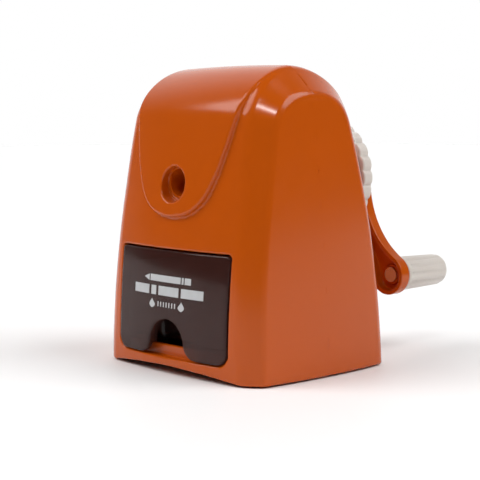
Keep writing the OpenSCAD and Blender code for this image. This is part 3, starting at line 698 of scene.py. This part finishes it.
def panel_y(x, z):
    """where the drawer front's outer face lies"""
    z = np.asarray(z, float)
    slope = 0.00907 - 2 * 0.001405 * z
    return -(bf(z) - 2.32 * (x / 28.0) ** 2 * sqrt(1 + slope ** 2)) - 0.35 * sqrt(1 + slope ** 2)


def print_mark(outlines):
    """a thin plain mark printed on the drawer front; each outline is a left edge and a right edge, point by point"""
    P, Q = [], []
    for left, right in outlines:
        left, right = np.asarray(left, float), np.asarray(right, float)
        k, m = len(left), 8
        base = len(P)
        for side in (0, 1):
            for a, b in zip(left, right):
                for t in np.linspace(0, 1, m):
                    x, z = a * (1 - t) + b * t
                    P.append((x, float(panel_y(x, z)) - (0.035 if side == 0 else -0.03), z))
        n = k * m
        for i in range(k - 1):
            for j in range(m - 1):
                v = base + i * m + j
                Q.append((v, v + 1, v + m + 1, v + m))
                Q.append((v + n, v + n + m, v + n + m + 1, v + n + 1))
        rim = [base + j for j in range(m)] + [base + i * m + m - 1 for i in range(1, k)]
        rim += [base + (k - 1) * m + j for j in range(m - 2, -1, -1)] + [base + i * m for i in range(k - 2, 0, -1)]
        for a, b in zip(rim, rim[1:] + rim[:1]):
            Q.append((b, a, a + n, b + n))
    return np.array(P), np.array(Q)


def bar(x0, x1, z0, z1, lean=0.0):
    n = max(2, int((x1 - x0) / 0.8))
    xs = np.linspace(x0, x1, n)
    return [(x, z1 + lean * (x - x0)) for x in xs], [(x, z0 + lean * (x - x0)) for x in xs]


def drop(cx, cz, w, hgt, s=1):
    t = np.linspace(0.0, 1.0, 17)
    half = w * np.sin(pi * t ** 1.6) ** 0.9 * 0.5 + 0.001
    mid = cx + s * 0.35 * np.sin(pi * t) * (t - 0.4)
    z = cz + hgt / 2 - hgt * t
    return list(zip(mid - half, z)), list(zip(mid + half, z))


# a drawn pencil over a row of blocks, with two drops and a row of small ticks under them
marks = [
    ([(-12.0, 31.1), (-9.6, 32.0), (-9.3, 32.1)], [(-12.0, 31.0), (-9.6, 30.1), (-9.3, 30.0)]),
    bar(-8.8, 6.6, 30.0, 32.1), bar(7.1, 8.0, 30.0, 32.1), bar(8.5, 11.4, 30.0, 32.1),
    bar(-17.3, -9.2, 25.6, 28.6), bar(-8.0, -5.4, 25.6, 28.6), bar(-4.2, 5.8, 25.6, 28.6), bar(7.0, 17.1, 25.6, 28.6),
    drop(-7.4, 22.8, 2.9, 3.2), drop(7.3, 22.8, 2.9, 3.2, -1),
] + [bar(q, q + 0.5, 21.9, 23.5) for q in (-4.4, -3.0, -1.6, -0.2, 1.2, 2.6, 4.0)]
ob = make_object("drawer_print", *print_mark(marks))
ob.data.polygons.foreach_set("use_smooth", np.zeros(len(ob.data.polygons), bool))
ob.data.materials.append(mat("print_ink", (0.52, 0.53, 0.54), rough=0.5, vary=0.08, vary_scale=400, rvar=0.08, bump=0.15, bump_scale=2500,
                             dist=0.00003))
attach(ob, "drawer")

slot_of = {s["node"]: s["material_slot"] for s in frame["record"]["subparts"]}
for node, ob in frame["nodes"].items():
    s = slot_of.get(node)
    if s in M and node not in ("front_casing", "rear_casing", "shavings_drawer", "locking_collar", "crank_arm", "handle_knob"):
        if not ob.material_slots:
            ob.data.materials.append(M[s])
        for k in ob.material_slots:
            k.material = M[s]
        md = ob.modifiers.new("soft_edges", "BEVEL")
        md.width = 0.00012
        md.segments = 2
        md.limit_method = "ANGLE"
        md.angle_limit = math.radians(40)
        md.harden_normals = False

# ---------------------------------------------------------------- floor, light, camera
sc = bpy.context.scene
bm = bmesh.new()
n = 24
ring = []
for i in range(n + 1):
    for j in range(n + 1):
        bm.verts.new((-3 + 6 * i / n, -3 + 6 * j / n, 0))
bm.verts.ensure_lookup_table()
for i in range(n):
    for j in range(n):
        a = i * (n + 1) + j
        bm.faces.new([bm.verts[k] for k in (a, a + n + 1, a + n + 2, a + 1)])
me = bpy.data.meshes.new("floor")
bm.to_mesh(me)
bm.free()
floor = bpy.data.objects.new("floor", me)
sc.collection.objects.link(floor)
floor.data.materials.append(mat("pale_floor", (0.93, 0.93, 0.93), rough=0.55, vary=0.01, vary_scale=6, rvar=0.04, rvar_scale=12, bump=0.0))

w = bpy.data.worlds.new("studio")
sc.world = w
w.use_nodes = True
bg = w.node_tree.nodes["Background"]
wn, wl = w.node_tree.nodes, w.node_tree.links
tc = wn.new("ShaderNodeTexCoord")
dot = wn.new("ShaderNodeVectorMath")
dot.operation = "DOT_PRODUCT"
dot.inputs[1].default_value = (0.7355, -0.6775, 0.0)
wl.new(tc.outputs["Generated"], dot.inputs[0])
ramp = wn.new("ShaderNodeMapRange")
ramp.interpolation_type = "SMOOTHSTEP"
ramp.inputs["From Min"].default_value = -0.97
ramp.inputs["From Max"].default_value = -0.25
ramp.inputs["To Min"].default_value = 1.0
ramp.inputs["To Max"].default_value = 0.06
wl.new(dot.outputs["Value"], ramp.inputs["Value"])
bg.inputs["Color"].default_value = (1.0, 1.0, 1.0, 1)
wl.new(ramp.outputs["Result"], bg.inputs["Strength"])


def area(name, loc, at, size, power, color=(1, 1, 1), size_y=None):
    d = bpy.data.lights.new(name, "AREA")
    d.energy = power
    d.color = color
    d.size = size
    if size_y:
        d.shape = "RECTANGLE"
        d.size_y = size_y
    o = bpy.data.objects.new(name, d)
    sc.collection.objects.link(o)
    o.location = loc
    o.rotation_euler = (Vector(at) - Vector(loc)).to_track_quat("-Z", "Y").to_euler()
    return o


def sun(name, az, el, strength, angle):
    d = bpy.data.lights.new(name, "SUN")
    d.energy = strength
    d.angle = math.radians(angle)
    d.specular_factor = 0.22
    o = bpy.data.objects.new(name, d)
    sc.collection.objects.link(o)
    a, e = math.radians(az), math.radians(el)
    o.rotation_euler = Vector((math.sin(a) * math.cos(e), -math.cos(a) * math.cos(e), math.sin(e))).to_track_quat("Z", "Y").to_euler()


sun("soft_left", -36, 47, 2.0, 44)
sun("soft_right", 122, 47, 1.95, 44)
area("front_spot", (0.52, -0.48, 0.85), (0, 0, 0.08), 0.13, 1.3, size_y=0.04)

cam = bpy.data.cameras.new("camera")
cam.sensor_width = 36.0
cam.lens = 1268.4656 / 480.0 * 36.0
cam.clip_start = 0.01
cam.clip_end = 50
co = bpy.data.objects.new("camera", cam)
sc.collection.objects.link(co)
az, el, dist = math.radians(47.357622), math.radians(5.452826), 0.429595448
back = Vector((math.sin(az) * math.cos(el), -math.cos(az) * math.cos(el), math.sin(el)))
co.location = Vector((0, 0, 0.041696718)) + back * dist
co.rotation_euler = (-back).to_track_quat("-Z", "Y").to_euler()
sc.camera = co
sc.view_settings.view_transform = "Standard"
sc.view_settings.look = "None"
sc.view_settings.exposure = 0.0
